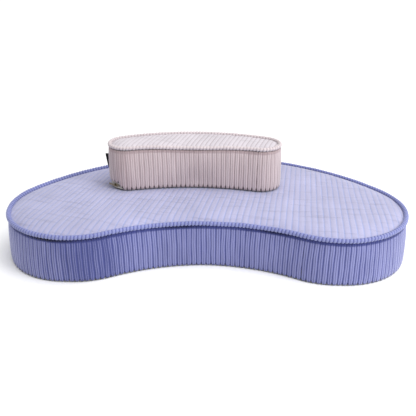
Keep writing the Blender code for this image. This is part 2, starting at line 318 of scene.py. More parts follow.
class Arc:
    """One arc of an outline. A hollow arc turns clockwise, and its outside is towards its centre."""

    def __init__(self, x, y, radius, start, sweep):
        self.x = x
        self.y = y
        self.radius = radius
        self.start = start
        self.sweep = sweep
        self.side = math.copysign(1, sweep)
        self.run = radius * abs(sweep)

    def holds(self, x, y):
        """Whether the direction of a point lies within the arc."""
        turned = (math.atan2(y - self.y, x - self.x) - self.start) * self.side
        return (turned + 1e-4) % TURN <= abs(self.sweep) + 2e-4

    def crossings(self, foot, along):
        """How far along a line it meets this arc."""
        away = Vector((foot.x - self.x, foot.y - self.y))
        middle = -away.dot(along)
        inside = self.radius**2 - (away.length_squared - middle**2)
        if inside < 0:
            return []
        half = math.sqrt(inside)
        spots = [foot + along * (middle - half), foot + along * (middle + half)]
        reach = [middle - half, middle + half]
        return [far for far, spot in zip(reach, spots) if self.holds(spot.x, spot.y)]


class Bean:
    """The outline of a cushion: two round ends, a curved back and a hollow front, all meeting smoothly."""

    def __init__(self, cushion, inset=0.0):
        sizes = sizes_of(cushion)
        low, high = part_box(f"{cushion}_side_band")
        half_width = (high.x - low.x) / 2
        depth = high.y - low.y
        middle = (low.x + high.x) / 2
        end = (depth - sizes.back_bulge) / 2
        reach = half_width - end
        level = low.y + end
        rise = reach**2 / (2 * sizes.waist_depth)
        waist = rise - end + sizes.waist_depth / 2
        drop = rise - sizes.waist_depth / 2
        back = (reach**2 / sizes.back_bulge + depth) / 2
        sink = high.y - back
        lean = math.atan2(drop, reach)
        swing = math.atan2(level - sink, reach)
        half = math.pi
        self.low = low
        self.high = high
        self.arcs = [
            Arc(middle + reach, level, end - inset, lean - half, half - lean + swing),
            Arc(middle, sink, back - inset, swing, half - 2 * swing),
            Arc(middle - reach, level, end - inset, half - swing, half - lean + swing),
            Arc(middle, level - drop, waist + inset, half - lean, 2 * lean - half),
        ]
        self.length = sum(arc.run for arc in self.arcs)

    def at(self, run, out=0.0):
        """The point a given run along the outline, moved outwards by out, and its outward direction."""
        run %= self.length
        for arc in self.arcs:
            if run <= arc.run:
                break
            run -= arc.run
        turned = arc.start + run / arc.radius * arc.side
        outward = Vector((math.cos(turned), math.sin(turned), 0)) * arc.side
        place = Vector((arc.x, arc.y, 0)) + outward * (arc.radius * arc.side + out)
        return place, outward

    def run_to(self, number, direction):
        """How far along the outline a direction from the centre of one of its arcs is."""
        before = sum(arc.run for arc in self.arcs[:number])
        arc = self.arcs[number]
        return before + (direction - arc.start) * arc.side * arc.radius

    def inside(self, x, y):
        """How far inside the outline a point is. Outside it, the number is below zero."""
        gaps = [
            (arc.radius - math.hypot(x - arc.x, y - arc.y)) * arc.side for arc in self.arcs if arc.holds(x, y)
        ]
        if min(gaps) < 0:
            return max(gap for gap in gaps if gap < 0)
        return min(gaps)

    def span(self, foot, along):
        """Where a line enters and leaves the outline, as distances along it."""
        found = [far for arc in self.arcs for far in arc.crossings(foot, along)]
        return min(found), max(found)


# --------------------------------------------------------------------------------------------
# Cloth shapes
# --------------------------------------------------------------------------------------------


def rib(phase, roundness, parting=0.0):
    """How high a rib stands at a place across it: 0 in the groove and 1 on the crest.

    A rib's pile may part along its middle, which leaves a shallow second groove.
    """
    across = phase % 1.0
    return 1 - abs(2 * across - 1) ** roundness - parting * math.exp(-(((across - 0.5) / 0.085) ** 2))


def ease(value):
    """A value from 0 to 1 that starts and ends gently."""
    value = min(max(value, 0.0), 1.0)
    return value * value * (3 - 2 * value)


def lumps(place, size, seed):
    """Soft lumps about size across, from -1 to 1."""
    return noise.noise(Vector((place.x / size, place.y / size, place.z / size + seed)))


def cloth_grid(columns, rows, lay):
    """A sheet of faces whose corner in each column and row lies where lay says.

    lay gives the point, its place on the flat cloth in metres, and how far up a rib it is; below zero it
    carries painted shade.
    """
    bm = bmesh.new()
    bmesh.ops.create_grid(bm, x_segments=columns, y_segments=rows, size=1.0)
    rib_and_shade = bm.verts.layers.float.new("rib_and_shade")
    cloth = bm.loops.layers.uv.new("cloth")
    spots = {}
    for vert in bm.verts:
        column = round((vert.co.x + 1) / 2 * columns)
        row = round((vert.co.y + 1) / 2 * rows)
        point, spot, height = lay(column, row)
        vert.co = point
        vert[rib_and_shade] = height
        spots[vert] = spot
    for face in bm.faces:
        for loop in face.loops:
            loop[cloth].uv = spots[loop.vert]
    return bm


class Settling:
    """How a filled cushion settles: the top over the hollow of the front leans forward and sags."""

    def __init__(self, cushion):
        self.low, self.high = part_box(f"{cushion}_side_band")
        self.lean = sizes_of(cushion).waist_lean

    def __call__(self, place):
        middle = (self.low.x + self.high.x) / 2
        across = abs(place.x - middle) / (self.high.x - middle)
        hollow = math.cos(math.pi / 2 * min(across / 0.66, 1)) ** 2
        front = ease((self.high.y - place.y) / (self.high.y - self.low.y) * 1.15)
        share = (place.z - self.low.z) / (self.high.z - self.low.z)
        place.y -= self.lean * hollow * front * max(share - 0.25, -0.04)
        place.z -= self.lean * 0.16 * hollow * front * max(share, 0)
        return place


def filled_body(cushion):
    """A smooth closed body in the shape of a cushion, a little smaller than its cover."""
    bean = Bean(cushion, 0.002)
    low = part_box(f"{cushion}_base_panel")[0]
    bm = bmesh.new()
    bmesh.ops.create_circle(bm, cap_ends=True, segments=200, radius=1.0)
    for vert in bm.verts:
        turned = math.atan2(vert.co.y, vert.co.x) % TURN
        place, outward = bean.at(turned / TURN * bean.length)
        vert.co = (place.x, place.y, low.z)
    grown = bmesh.ops.extrude_face_region(bm, geom=list(bm.faces))
    raised = [item for item in grown["geom"] if isinstance(item, bmesh.types.BMVert)]
    bmesh.ops.translate(bm, verts=raised, vec=(0, 0, bean.high.z - low.z))
    bmesh.ops.recalc_face_normals(bm, faces=bm.faces)
    mesh = bpy.data.meshes.new(f"{cushion} filling")
    bm.to_mesh(mesh)
    bm.free()
    return bpy.data.objects.new(f"{cushion} filling", mesh)


class Swelling:
    """How far a cover moves at each place when its filling presses on it, from a cloth simulation.

    The cover is held along the piping seam and under the base. Without the simulation nothing moves.
    """

    def __init__(self, cushion, voxel, most):
        self.most = most
        self.tree = None
        scene = bpy.context.scene
        body = filled_body(cushion)
        scene.collection.objects.link(body)
        remesh = body.modifiers.new("even faces", "REMESH")
        remesh.mode = "VOXEL"
        remesh.voxel_size = voxel
        drawn = bpy.context.evaluated_depsgraph_get()
        mesh = bpy.data.meshes.new_from_object(body.evaluated_get(drawn))
        body.modifiers.clear()
        body.data = mesh
        low = min(vert.co.z for vert in mesh.vertices)
        high = max(vert.co.z for vert in mesh.vertices)
        bean = Bean(cushion, 0.002)
        held = body.vertex_groups.new(name="held")
        for vert in mesh.vertices:
            near_edge = bean.inside(vert.co.x, vert.co.y) < voxel
            if vert.co.z < low + voxel * 0.6 or (near_edge and vert.co.z > high - voxel):
                held.add([vert.index], 1.0, "REPLACE")
        rest = [vert.co.copy() for vert in mesh.vertices]
        cloth = body.modifiers.new("cover", "CLOTH")
        cloth.settings.quality = 5
        cloth.settings.mass = 0.3
        cloth.settings.tension_stiffness = 40
        cloth.settings.compression_stiffness = 40
        cloth.settings.bending_stiffness = 0.5
        cloth.settings.use_pressure = True
        cloth.settings.uniform_pressure_force = 4.0
        cloth.settings.vertex_group_mass = "held"
        cloth.settings.effector_weights.gravity = 0
        cloth.point_cache.frame_start = 1
        cloth.point_cache.frame_end = 20
        for frame_number in range(1, 21):
            scene.frame_set(frame_number)
        drawn = bpy.context.evaluated_depsgraph_get()
        swollen = body.evaluated_get(drawn).data
        self.moves = [swollen.vertices[number].co - place for number, place in enumerate(rest)]
        self.tree = kdtree.KDTree(len(rest))
        for number, place in enumerate(rest):
            self.tree.insert(place, number)
        self.tree.balance()
        scene.frame_set(1)
        bpy.data.objects.remove(body)

    def at(self, place, outward):
        """How far the cover moves along one direction, with the largest moves held back."""
        if not self.tree:
            return 0.0
        total = 0.0
        weight = 0.0
        for spot, number, distance in self.tree.find_n(place, 5):
            share = 1 / (distance + 0.002)
            total += self.moves[number].dot(outward) * share
            weight += share
        return self.most * math.tanh(total / weight / self.most)


def make_piece(bm, name, material, body):
    """Closes a shape's seams, turns its faces out and makes it a piece that rides on a body."""
    bmesh.ops.remove_doubles(bm, verts=bm.verts, dist=2e-6)
    bmesh.ops.dissolve_degenerate(bm, edges=bm.edges, dist=1e-7)
    bmesh.ops.recalc_face_normals(bm, faces=bm.faces)
    mesh = bpy.data.meshes.new(name)
    bm.to_mesh(mesh)
    bm.free()
    mesh.shade_smooth()
    mesh.materials.append(material)
    piece = bpy.data.objects.new(name, mesh)
    bpy.context.scene.collection.objects.link(piece)
    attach(piece, body)
    return piece


def side_band(cushion, swelling):
    """The ribbed cloth round a cushion's side, turned in at the top and hemmed at the bottom."""
    sizes = sizes_of(cushion)
    bean = Bean(cushion)
    ribs = round(bean.length / sizes.side_rib)
    columns = ribs * FACES_PER_RIB
    settle = Settling(cushion)
    bottom = bean.low.z
    top = bean.high.z
    zip_start = bean.run_to(sizes.zip_arc, sizes.zip_from)
    zip_end = bean.run_to(sizes.zip_arc, sizes.zip_to)
    # Each row holds how far up the band it lies, and 1 on the outside down to 0 on the inside.
    rows = [(0.0, 1.0), (0.03, 1.0)]
    rows += [(step / 16, 1.0) for step in range(1, 15)]
    rows += [(share, 1.0) for share in (0.90, 0.917, 0.93, 0.943, 0.965, 1.0)]
    rows += [(1.008, 0.55), (1.004, 0.0), (0.88, 0.0), (0.5, 0.0), (0.01, 0.0), (-0.006, 0.5)]
    rows.append(rows[0])

    def lay(column, row):
        share, outer = rows[row]
        up = min(max(share, 0.0), 1.0)
        run = column / columns * bean.length
        flat, outward = bean.at(run)
        number = column // FACES_PER_RIB
        wander = 0.10 * lumps(Vector((number * 0.37, share * 1.7, 0.0)), 0.6, 3.0)
        crest = rib(column / FACES_PER_RIB, 2.6, 0.72)
        full = 1 + 0.22 * lumps(Vector((number * 0.73, share * 2.2, 0.0)), 1.0, 9.0)
        room = TAPE_ROOM + (sizes.zip_room - TAPE_ROOM) * outer
        over = ease((run - zip_start + room) / HEM_STEP) * ease((zip_end + room - run) / HEM_STEP)
        scallop = abs(2 * (column / FACES_PER_RIB % 1.0) - 1)
        hem = bottom + sizes.zip_lift * over + (sizes.hem_gap + sizes.scallop * scallop) * outer
        height = hem + (top - hem) * share
        middle = flat.copy()
        middle.z = bottom + (top - bottom) * up
        round_up = math.sin(math.pi * up**0.6)
        corner = max(0.0, -2 * abs(outward.x) * outward.y)
        swell = swelling.at(middle, outward) if swelling.tree else sizes.belly * math.sin(math.pi * up) ** 0.7
        rumple = 0.0009 * lumps(flat + Vector((0, 0, share * 0.05)), 0.045, 5.0) * math.sin(math.pi * up)
        shape = 0.8 * swell + sizes.low_belly * round_up + rumple - sizes.tuck * up**8
        shape += sizes.corner_flare * corner * (1 - up) ** 2
        inner = -BAND_INSIDE - 0.003 * max(0.0, (height - top + 0.014) / 0.014)
        skin = 0.0007 + shape - sizes.side_relief * full * (1 - crest) * (1 - 0.3 * (1 - up) ** 8)
        out = inner + (max(skin, inner + 0.0005) - inner) * outer
        place, outward = bean.at(run + wander * sizes.side_rib * outer, out)
        place.z = height
        tone = crest + 0.20 * lumps(Vector((number * 0.9, share * 1.3, 0.0)), 1.0, 15.0)
        # Painted shade: the pile on the front is darkened in one patch along the width, where less light falls.
        if outward.y < 0:
            tone -= sizes.brushed_dark * math.exp(-(((flat.x - sizes.brushed_at) / sizes.brushed_wide) ** 2))
        # Painted shade in the seam under the piping: the pile is darkened there, down to a value below zero.
        seam = sizes.seam_shade * (0.8 + 0.6 * lumps(flat, 0.11, 40.0)) * ease((height - top + 0.0088) / 0.004)
        tone = max(tone, 0.0) * (1 - seam) - seam
        # Painted shadow: grooves within a few millimetres of the hem are darkened, as under the scallops, and
        # the bottom row more.
        tone -= sizes.hem_shade * (1 - crest) * ease(1 - share / 0.055)
        if row == 0:
            tone -= 0.4 * sizes.hem_shade
        # Rows on the inside take a rib value below zero: painted shade on the turned-in layer that shows
        # through the hem's scallops.
        return settle(place), (run, height), tone * outer - (1 - outer)

    return cloth_grid(columns, len(rows) - 1, lay)


def piping(cushion):
    """The fat ribbed piping on the seam between the side band and the top panel."""
    sizes = sizes_of(cushion)
    bean = Bean(cushion)
    low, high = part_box(f"{cushion}_piping_sleeve")
    radius = (high.z - low.z) / 2
    middle = (high.z + low.z) / 2
    centre_out = high.x - radius - bean.high.x
    ribs = round(bean.length / sizes.piping_rib)
    columns = ribs * FACES_PER_RIB
    settle = Settling(cushion)
    radius -= sizes.thin_piping

    def lay(column, row):
        run = column / columns * bean.length
        turned = row / FACES_ROUND_PIPING * TURN
        crest = rib(column / FACES_PER_RIB + 0.5, 2.0)
        flat, outward = bean.at(run)
        slant = 0.0009 * math.sin(turned) + 0.0009 * lumps(flat, 0.03, 2.0)
        size = radius * (1.04 - 0.32 * (1 - crest) ** 1.2 + 0.05 * lumps(flat, 0.02, 7.0))
        size *= 1 + sizes.piping_fuller * max(outward.y, 0.0) * min(max(-flat.x / 0.3, -1.0), 1.0)
        out = centre_out - sizes.thin_piping + size * math.cos(turned) + 0.0006 * lumps(flat, 0.05, 4.0)
        place, outward = bean.at(run + slant, out)
        place.z = middle + size * math.sin(turned) + 0.0007 * lumps(flat, 0.06, 8.0)
        # Painted shade on the piping's lower half, where it turns under towards the band.
        beneath = sizes.seam_shade * max(0.0, -math.sin(turned) - 0.3)
        return settle(place), (run, turned * radius), crest - 1.4 * beneath

    return cloth_grid(columns, FACES_ROUND_PIPING, lay)


class Panel:
    """A panel cut to the outline, with columns of faces that run along its ribs."""

    def __init__(self, cushion, inset, pitch, turn, per_rib, fan=0.0):
        self.bean = Bean(cushion, inset)
        left, right = self.bean.arcs[2], self.bean.arcs[0]
        first = Vector((left.x, left.y)).dot(self.across(turn + fan)) - left.radius
        last = Vector((right.x, right.y)).dot(self.across(turn - fan)) + right.radius
        step = pitch / per_rib
        inner = range(math.floor(first / step) + 1, math.ceil(last / step))
        offsets = [first + 1e-7, first + 0.0004] + [n * step for n in inner] + [last - 0.0004, last - 1e-7]
        self.lines = []
        for offset in sorted(offsets):
            turned = turn + fan - 2 * fan * (offset - first) / (last - first)
            foot = self.across(turned) * offset
            along = Vector((math.sin(turned), math.cos(turned)))
            start, end = self.bean.span(foot, along)
            self.lines.append((offset, foot, along, start, end))
        self.columns = len(self.lines) - 1

    @staticmethod
    def across(turned):
        """The direction across ribs that lean this far."""
        return Vector((math.cos(turned), -math.sin(turned)))

    def spot(self, column, share):
        """The flat place that lies a share of the way along one column, with more rows near both ends."""
        offset, foot, along, start, end = self.lines[column]
        share -= 0.72 * math.sin(TURN * share) / TURN
        far = start + (end - start) * share
        place = foot + along * far
        return Vector((place.x, place.y, 0)), (offset, far)


def top_panel(cushion, swelling, stands_on_it=None):
    """The ribbed top of a cushion, crowned over its foam and pressed flat under what stands on it."""
    sizes = sizes_of(cushion)
    panel = Panel(cushion, 0.0068, sizes.top_rib, sizes.grain_turn, FACES_PER_RIB, sizes.grain_fan)
    low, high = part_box(f"{cushion}_top_panel")
    sleeve_low, sleeve_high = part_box(f"{cushion}_piping_sleeve")
    edge = (sleeve_low.z + sleeve_high.z) / 2 - 0.0010
    crown = high.z + 0.0010 - edge
    settle = Settling(cushion)
    up = Vector((0, 0, 1))
    pressed = Bean(stands_on_it) if stands_on_it else None
    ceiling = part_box(f"{stands_on_it}_base_panel")[0].z - 0.0003 if stands_on_it else None
    upper = 84
    under = 16

    def lay(column, row):
        above = row <= upper
        share = row / upper if above else (upper + under - row) / under
        place, spot = panel.spot(column, min(max(share, 0), 1))
        deep = max(panel.bean.inside(place.x, place.y), 0)
        climb = 1 - (1 - min(deep / sizes.crown_width, 1)) ** 2.6
        wander = 0.09 * lumps(place, 0.07, 1.0) + 0.03 * lumps(place, 0.02, 6.0)
        crest = rib(spot[0] / sizes.top_rib + wander, 4.2)
        fade = ease(deep / 0.010)
        pucker = 0.0012 * math.exp(-deep / 0.016) * lumps(place, 0.013, 12.0) * ease(deep / 0.004)
        swell = 0.0010 * lumps(place, 0.09, 20.0) * ease(deep / 0.05)
        if swelling.tree:
            swell += 0.3 * (swelling.at(Vector((place.x, place.y, panel.bean.high.z)), up) - swelling.most)
        height = edge + crown * climb + pucker + swell
        height -= sizes.top_relief * fade * (1 - crest)
        if pressed:
            beneath = ease(pressed.inside(place.x, place.y) / 0.02 + 1)
            height -= beneath * max(height - ceiling, 0)
        place.z = height if above else height - 0.0026
        return settle(place), spot, crest

    return cloth_grid(panel.columns, upper + under, lay)


def base_panel(cushion):
    """The plain cloth under a cushion, flat on what it stands on and rounded where it meets the band."""
    sizes = sizes_of(cushion)
    low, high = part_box(f"{cushion}_base_panel")
    bean = Bean(cushion)
    inset = bean.high.x - high.x
    panel = Panel(cushion, inset + 0.0015, 0.008, 0.0, 1)
    under = 70
    upper = 8

    def lay(column, row):
        below = row <= under
        share = row / under if below else (under + upper - row) / upper
        place, spot = panel.spot(column, min(max(share, 0), 1))
        deep = max(panel.bean.inside(place.x, place.y), 0)
        turned = 0.0012 * (1 - ease(deep / 0.004))
        stitch = 0.0005 * math.exp(-(((deep - 0.009) / 0.0016) ** 2))
        wave = 0.0004 * (1 + lumps(place, 0.06, 30.0)) * ease(deep / 0.03)
        place.z = low.z + turned + stitch + wave if below else high.z - 0.0002
        return place, spot, 0.5

    return cloth_grid(panel.columns, under + upper, lay)


def zip_teeth(cushion, row):
    """One row of a zip's moulded teeth, laid round the outline."""
    sizes = sizes_of(cushion)
    low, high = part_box(f"{cushion}_zip_coil_{row}")
    arc = Bean(cushion).arcs[sizes.zip_arc]
    outer = high.y - arc.y if sizes.zip_arc == 1 else arc.x - low.x
    depth = 0.0024
    pitch = 0.0027
    middle = outer - depth / 2
    count = round((sizes.zip_to - sizes.zip_from) * middle / pitch)
    bm = bmesh.new()
    up = 1 if row == "lower" else -1
    height = high.z - low.z
    cloth = bm.loops.layers.uv.new("cloth")
    for number in range(count):
        turned = sizes.zip_from + (number + 0.5) / count * (sizes.zip_to - sizes.zip_from)
        turned += 0.25 * up * pitch / middle
        x = arc.x + middle * math.cos(turned)
        y = arc.y + middle * math.sin(turned)
        spot = Vector((x, y, (low.z + high.z) / 2))
        size = Matrix.Diagonal((depth, pitch * 0.62, height + 0.0004, 1))
        place = Matrix.Translation(spot) @ Matrix.Rotation(turned, 4, "Z") @ size
        made = bmesh.ops.create_cube(bm, size=1.0, matrix=place)
        edges = {edge for vert in made["verts"] for edge in vert.link_edges}
        bmesh.ops.bevel(
            bm,
            geom=list(edges),
            offset=0.0004,
            offset_type="OFFSET",
            affect="EDGES",
            segments=1,
            profile=0.5,
            material=-1,
        )
    return bm


def label_tab():
    """A small woven tab, folded over at its outer end and slightly curled."""
    low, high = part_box("backrest_label_tab")
    bean = Bean("backrest")
    arc = bean.arcs[2]
    middle = (low + high) / 2
    turned = math.atan2(middle.y - arc.y, middle.x - arc.x)
    outward = Vector((math.cos(turned), math.sin(turned), 0))
    sideways = Vector((-outward.y, outward.x, 0))
    root = Vector((arc.x, arc.y, 0)) + outward * (arc.radius + 0.0008)
    reach = math.hypot(low.x - arc.x, middle.y - arc.y) - arc.radius - 0.0008
    tall = high.z - low.z
    section = [(0.0, -0.0008), (0.35, -0.0009), (0.75, -0.0008), (0.95, -0.0005), (1.0, 0.0), (0.95, 0.0005)]
    section += [(0.75, 0.0008), (0.35, 0.0009), (0.0, 0.0008), (0.0, -0.0008)]
    rows = 14

    def lay(column, row):
        share, aside = section[column]
        high_up = row / rows
        curl = 0.0022 * share**2 * (high_up - 0.45)
        narrow = 1 - 0.35 * (1 - high_up) ** 1.4
        place = root + outward * (reach * share * narrow) + sideways * (aside + curl)
        place.z = low.z + tall * high_up
        return place, (share * reach + (0.02 if column > 4 else 0.0), high_up * tall), 1.0

    bm = cloth_grid(len(section) - 1, rows, lay)
    bmesh.ops.remove_doubles(bm, verts=bm.verts, dist=2e-6)
    bmesh.ops.holes_fill(bm, edges=[edge for edge in bm.edges if edge.is_boundary], sides=0)
    return bm


# --------------------------------------------------------------------------------------------
# Materials
# --------------------------------------------------------------------------------------------


class Nodes:
    """Adds nodes to a tree and joins them."""

    def __init__(self, tree):
        self.tree = tree
        self.made = 0

    def add(self, kind, inputs=None, **settings):
        """A node with its settings, and its inputs linked to sockets or set to values."""
        node = self.tree.nodes.new(kind)
        node.location = (self.made * 190, -(self.made % 4) * 190)
        self.made += 1
        for name, value in settings.items():
            setattr(node, name, value)
        for socket, value in (inputs or {}).items():
            if isinstance(value, bpy.types.NodeSocket):
                self.tree.links.new(value, node.inputs[socket])
            else:
                node.inputs[socket].default_value = value
        return node

    def sum(self, operation, first, second=0.0, third=0.0):
        """The result of a Math node."""
        node = self.add("ShaderNodeMath", {0: first, 1: second, 2: third}, operation=operation)
        return node.outputs[0]

    def noise(self, place, scale, detail=2.0, stretch=(1.0, 1.0, 1.0), roughness=0.5):
        """Soft noise from 0 to 1, stretched along the axes."""
        moved = self.add("ShaderNodeMapping", {"Vector": place, "Scale": stretch})
        node = self.add(
            "ShaderNodeTexNoise",
            {"Vector": moved.outputs[0], "Scale": scale, "Detail": detail, "Roughness": roughness},
        )
        return node.outputs[0]

    def between(self, value, low, high, to_low=0.0, to_high=1.0):
        """A value moved from one range to another, and kept in it."""
        node = self.add(
            "ShaderNodeMapRange",
            {0: value, 1: low, 2: high, 3: to_low, 4: to_high},
            interpolation_type="SMOOTHSTEP",
        )
        return node.outputs[0]

    def mixed(self, share, first, second):
        """One colour mixed into another."""
        node = self.add("ShaderNodeMix", data_type="RGBA")
        for socket, value in ((0, share), (6, first), (7, second)):
            if isinstance(value, bpy.types.NodeSocket):
                self.tree.links.new(value, node.inputs[socket])
            else:
                node.inputs[socket].default_value = value
        return node.outputs[2]

    def scaled(self, tint, factor):
        """A colour made lighter or darker."""
        node = self.add("ShaderNodeVectorMath", {0: tint, 3: factor}, operation="SCALE")
        return node.outputs[0]


def new_group(name, inputs, outputs):
    """An empty node group with its sockets, and its input and output nodes."""
    tree = bpy.data.node_groups.new(name, "ShaderNodeTree")
    for label, kind in inputs:
        tree.interface.new_socket(label, in_out="INPUT", socket_type=kind)
    for label, kind in outputs:
        tree.interface.new_socket(label, in_out="OUTPUT", socket_type=kind)
    nodes = Nodes(tree)
    return nodes, nodes.add("NodeGroupInput"), nodes.add("NodeGroupOutput")


def corduroy_pile():
    """Ribbed velvet pile, from the rib, brushed patches, streaks and fine tufts, with painted shade in the
    creases and where the rib value goes below zero.
    """
    name = "corduroy pile"
    if name in bpy.data.node_groups:
        return bpy.data.node_groups[name]
    inputs = [("Crest", "NodeSocketColor"), ("Groove", "NodeSocketColor"), ("Creases", "NodeSocketFloat")]
    outputs = [("Colour", "NodeSocketColor"), ("Roughness", "NodeSocketFloat"), ("Height", "NodeSocketFloat")]
    nodes, given, result = new_group(name, inputs, outputs)
    cloth = nodes.add("ShaderNodeUVMap", uv_map="cloth").outputs[0]
    place = nodes.add("ShaderNodeTexCoord").outputs["Object"]
    rib_and_shade = nodes.add("ShaderNodeAttribute", attribute_name="rib_and_shade").outputs["Fac"]
    tufts = nodes.noise(cloth, 900.0, 3.0, (1.0, 0.75, 1.0), 0.6)
    ragged = nodes.noise(cloth, 420.0, 2.0, (0.5, 1.0, 1.0))
    brushed = nodes.noise(cloth, 60.0, 3.0, (1.6, 0.16, 1.0), 0.6)
    patches = nodes.noise(place, 8.0, 4.0)
    creases = nodes.noise(cloth, 55.0, 3.0, (0.16, 1.5, 1.0), 0.6)
    edge = nodes.sum("MULTIPLY_ADD", ragged, 0.30, -0.15)
    lifted = nodes.sum("ADD", rib_and_shade, edge)
    on_rib = nodes.between(lifted, 0.05, 0.90)
    base = nodes.mixed(on_rib, given.outputs["Groove"], given.outputs["Crest"])
    light = nodes.sum("MULTIPLY_ADD", tufts, 0.20, 0.90)
    light = nodes.sum("MULTIPLY_ADD", nodes.sum("SUBTRACT", brushed, 0.5), 0.26, light)
    light = nodes.sum("MULTIPLY_ADD", nodes.sum("SUBTRACT", patches, 0.5), 0.40, light)
    # Crease lines are darkened in colour as well as in relief: painted shade in the creases.
    crossed = nodes.sum("MULTIPLY", nodes.between(creases, 0.50, 0.72), given.outputs["Creases"])
    light = nodes.sum("MULTIPLY_ADD", crossed, -0.13, light)
    # A rib value below zero darkens the pile: painted shade in seams, in grooves at the hem and on turned-in
    # layers.
    light = nodes.sum("MULTIPLY", nodes.between(rib_and_shade, -0.9, -0.05, 0.16, 1.0), light)
    nodes.tree.links.new(nodes.scaled(base, light), result.inputs["Colour"])
    rough = nodes.between(tufts, 0.2, 0.8, 0.82, 0.97)
    nodes.tree.links.new(rough, result.inputs["Roughness"])
    height = nodes.sum("MULTIPLY_ADD", brushed, 0.35, tufts)
    height = nodes.sum("MULTIPLY_ADD", crossed, -0.9, height)
    nodes.tree.links.new(height, result.inputs["Height"])
    return nodes.tree


def plain_weave():
    """Plain woven cloth: threads over and under each other, with slubs and soft wear."""
    name = "plain weave"
    if name in bpy.data.node_groups:
        return bpy.data.node_groups[name]
    inputs = [("Thread", "NodeSocketColor"), ("Count", "NodeSocketFloat")]
    outputs = [("Colour", "NodeSocketColor"), ("Roughness", "NodeSocketFloat"), ("Height", "NodeSocketFloat")]
    nodes, given, result = new_group(name, inputs, outputs)
    place = nodes.add("ShaderNodeTexCoord").outputs["Object"]
    split = nodes.add("ShaderNodeSeparateXYZ", {"Vector": place})
    count = given.outputs["Count"]
    warp_at = nodes.sum("ADD", split.outputs["X"], split.outputs["Z"])
    weft_at = nodes.sum("ADD", split.outputs["Y"], split.outputs["Z"])
    warp = nodes.sum("SINE", nodes.sum("MULTIPLY", warp_at, count))
    weft = nodes.sum("SINE", nodes.sum("MULTIPLY", weft_at, count))
    over = nodes.sum("MULTIPLY", warp, weft)
    slubs = nodes.noise(place, 190.0, 3.0, (1.0, 0.3, 0.5))
    worn = nodes.noise(place, 14.0, 3.0)
    light = nodes.sum("MULTIPLY_ADD", over, 0.10, 0.93)
    light = nodes.sum("MULTIPLY_ADD", nodes.sum("SUBTRACT", slubs, 0.5), 0.30, light)
    light = nodes.sum("MULTIPLY_ADD", nodes.sum("SUBTRACT", worn, 0.5), 0.20, light)
    nodes.tree.links.new(nodes.scaled(given.outputs["Thread"], light), result.inputs["Colour"])
    nodes.tree.links.new(nodes.between(slubs, 0.2, 0.8, 0.70, 0.92), result.inputs["Roughness"])
    nodes.tree.links.new(nodes.sum("MULTIPLY_ADD", slubs, 0.5, over), result.inputs["Height"])
    return nodes.tree


def new_material(name):
    """A material with its nodes emptied to the shader, and the helper that adds to it."""
    material = bpy.data.materials.new(name)
    material.use_nodes = True
    nodes = Nodes(material.node_tree)
    return material, nodes, material.node_tree.nodes["Principled BSDF"]


def bumped(nodes, shader, height, depth):
    """Gives a shader the small relief of a height."""
    bump = nodes.add("ShaderNodeBump", {"Height": height, "Distance": depth, "Strength": 1.0})
    nodes.tree.links.new(bump.outputs[0], shader.inputs["Normal"])


def corduroy(name, crest, groove, creases, sheen):
    """A corduroy material in one pair of colours."""
    material, nodes, shader = new_material(name)
    pile = nodes.add("ShaderNodeGroup", node_tree=corduroy_pile())
    pile.inputs["Crest"].default_value = (*crest, 1)
    pile.inputs["Groove"].default_value = (*groove, 1)
    pile.inputs["Creases"].default_value = creases
    nodes.tree.links.new(pile.outputs["Colour"], shader.inputs["Base Color"])
    nodes.tree.links.new(pile.outputs["Roughness"], shader.inputs["Roughness"])
    shader.inputs["Specular IOR Level"].default_value = 0.15
    shader.inputs["Sheen Weight"].default_value = sheen
    shader.inputs["Sheen Roughness"].default_value = 0.45
    bumped(nodes, shader, pile.outputs["Height"], 0.0005)
    return material


def woven(name, thread, count, depth):
    """A plain woven material."""
    material, nodes, shader = new_material(name)
    weave = nodes.add("ShaderNodeGroup", node_tree=plain_weave())
    weave.inputs["Thread"].default_value = (*thread, 1)
    weave.inputs["Count"].default_value = count
    nodes.tree.links.new(weave.outputs["Colour"], shader.inputs["Base Color"])
    nodes.tree.links.new(weave.outputs["Roughness"], shader.inputs["Roughness"])
    shader.inputs["Specular IOR Level"].default_value = 0.25
    bumped(nodes, shader, weave.outputs["Height"], depth)
    return material


def moulded(name, tint):
    """Zip teeth of nylon, a little glossy."""
    material, nodes, shader = new_material(name)
    place = nodes.add("ShaderNodeTexCoord").outputs["Object"]
    mottled = nodes.noise(place, 240.0, 3.0)
    light = nodes.sum("MULTIPLY_ADD", mottled, 0.3, 0.85)
    tinted = nodes.scaled((*tint,), light)
    nodes.tree.links.new(tinted, shader.inputs["Base Color"])
    nodes.tree.links.new(nodes.between(mottled, 0.2, 0.8, 0.35, 0.55), shader.inputs["Roughness"])
    bumped(nodes, shader, mottled, 0.0001)
    return material


def brushed_metal(name, tint):
    """Dark zip metal with fine scratches and rubbed patches."""
    material, nodes, shader = new_material(name)
    place = nodes.add("ShaderNodeTexCoord").outputs["Object"]
    scratches = nodes.noise(place, 900.0, 3.0, (1.0, 0.12, 1.0))
    rubbed = nodes.between(nodes.noise(place, 260.0, 2.0), 0.50, 0.68)
    light = nodes.sum("MULTIPLY_ADD", rubbed, 0.55, 0.85)
    nodes.tree.links.new(nodes.scaled((*tint,), light), shader.inputs["Base Color"])
    nodes.tree.links.new(nodes.between(scratches, 0.2, 0.8, 0.26, 0.48), shader.inputs["Roughness"])
    shader.inputs["Metallic"].default_value = 1.0
    bumped(nodes, shader, scratches, 0.00005)
    return material


